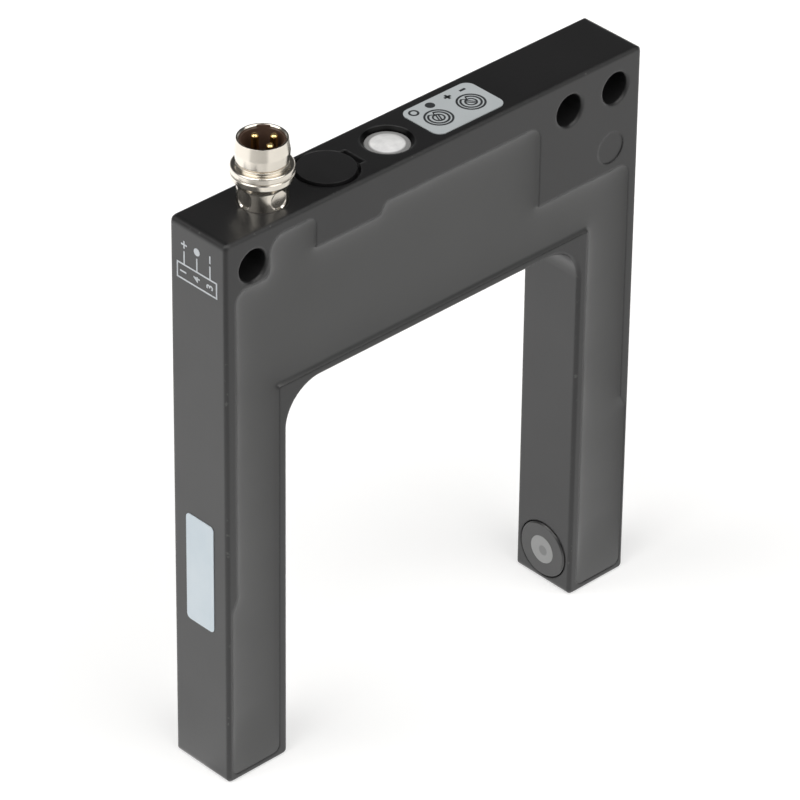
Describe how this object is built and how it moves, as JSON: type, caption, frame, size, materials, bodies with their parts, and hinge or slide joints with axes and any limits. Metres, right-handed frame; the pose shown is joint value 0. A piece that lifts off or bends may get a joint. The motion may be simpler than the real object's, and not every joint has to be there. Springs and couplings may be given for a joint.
{
  "type": "fork sensor",
  "caption": "U-shaped photoelectric fork sensor: resin-filled cast tray, plug connector, indicator window, capped adjusters and facing optical windows in its arms",
  "frame": {"origin": "midway between the ends of the two arms, on the plane they stand on, at mid thickness", "axes": "+X from the connector's arm to the other arm, +Y out of the plain back, +Z from the arm ends towards the connector"},
  "size_m": [0.0701, 0.01, 0.0888],
  "materials": {
    "black_paint": "satin black paint on a die casting",
    "resin": "dark grey cast resin, softly shiny",
    "nickel": "bright nickel plate",
    "insert_plastic": "dark brown moulded plastic",
    "gold": "gold plate",
    "cap_plastic": "black moulded plastic",
    "clear_plastic": "clear moulded light guide",
    "label_print": "pale grey printed film",
    "sticker_paper": "pale satin film",
    "bezel_plastic": "black moulded plastic",
    "window_plastic": "grey moulded lens",
    "circuit_board": "green solder mask",
    "ribbon_film": "amber film",
    "trimmer_plastic": "blue moulded plastic",
    "rotor_plastic": "white moulded plastic",
    "package_plastic": "black moulded package",
    "led_green": "green tinted plastic",
    "led_yellow": "yellow tinted plastic",
    "led_red": "red tinted plastic",
    "tantalum_resin": "yellow moulded package",
    "ceramic": "tan ceramic",
    "resistor_glaze": "black glazed ceramic"
  },
  "bodies": {
    "sensor": {"housing": "black_paint", "potting_compound": "resin", "connector_shell": "nickel", "contact_carrier": "insert_plastic", "contact_pin_1": "gold", "contact_pin_3": "gold", "contact_pin_4": "gold", "adjuster_cap": "cap_plastic", "sensitivity_trimmer": "trimmer_plastic", "switching_trimmer": "trimmer_plastic", "indicator_lens": "clear_plastic", "indicator_led_green": "led_green", "indicator_led_yellow": "led_yellow", "adjuster_label": "label_print", "side_label": "sticker_paper", "main_board": "circuit_board", "emitter_bezel": "bezel_plastic", "emitter_lens": "window_plastic", "emitter_led": "led_red", "emitter_board": "circuit_board", "emitter_ribbon": "ribbon_film", "receiver_bezel": "bezel_plastic", "receiver_lens": "window_plastic", "receiver_diode": "package_plastic", "receiver_board": "circuit_board", "receiver_ribbon": "ribbon_film", "controller_ic": "package_plastic", "receiver_amplifier": "package_plastic", "voltage_regulator": "package_plastic", "output_transistors": "package_plastic", "protection_diodes": "package_plastic", "tantalum_capacitors": "tantalum_resin", "ceramic_capacitors": "ceramic", "chip_resistors": "resistor_glaze"},
    "sensitivity_adjuster": {"sensitivity_rotor": "rotor_plastic"},
    "switching_adjuster": {"switching_rotor": "rotor_plastic"}
  },
  "joints": [
    {"name": "sensitivity_turn", "type": "hinge", "parent": "sensor", "child": "sensitivity_adjuster", "pos_m": [-0.0159, 0, 0.0726], "axis": [0, 0, 1], "range_deg": [-135, 135]},
    {"name": "switching_turn", "type": "hinge", "parent": "sensor", "child": "switching_adjuster", "pos_m": [-0.0123, 0, 0.0726], "axis": [0, 0, 1], "range_deg": [-90, 90]}
  ]
}
